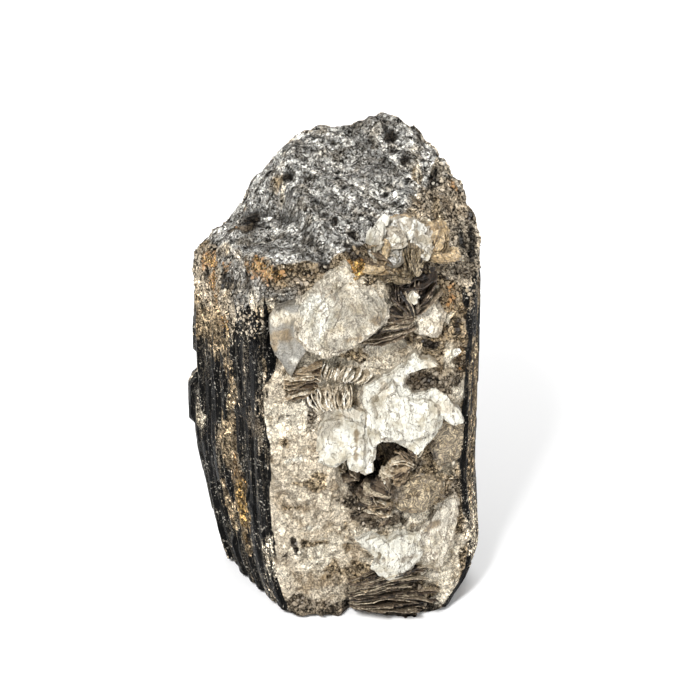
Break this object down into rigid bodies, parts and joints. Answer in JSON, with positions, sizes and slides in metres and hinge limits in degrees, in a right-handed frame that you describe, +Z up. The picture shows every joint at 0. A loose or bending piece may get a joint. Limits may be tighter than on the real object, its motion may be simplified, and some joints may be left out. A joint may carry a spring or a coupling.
{
  "type": "black tourmaline specimen",
  "caption": "Stubby striated black tourmaline prism, broken across at both ends, with plates and books of mica grown over its front, standing on its broken foot.",
  "frame": {"origin": "centre of the specimen's box at the flat of the foot", "axes": "+Z up along the prism, -Y towards the mica-covered front, +X to the right seen from the front"},
  "size_m": [0.0816, 0.066, 0.1253],
  "materials": {
    "black_tourmaline": "natural: glossy black striated prism faces, sparkling grey fracture on top, cream, white and brown mica on the front"
  },
  "bodies": {
    "root": {"black_tourmaline": "black_tourmaline"}
  },
  "joints": []
}
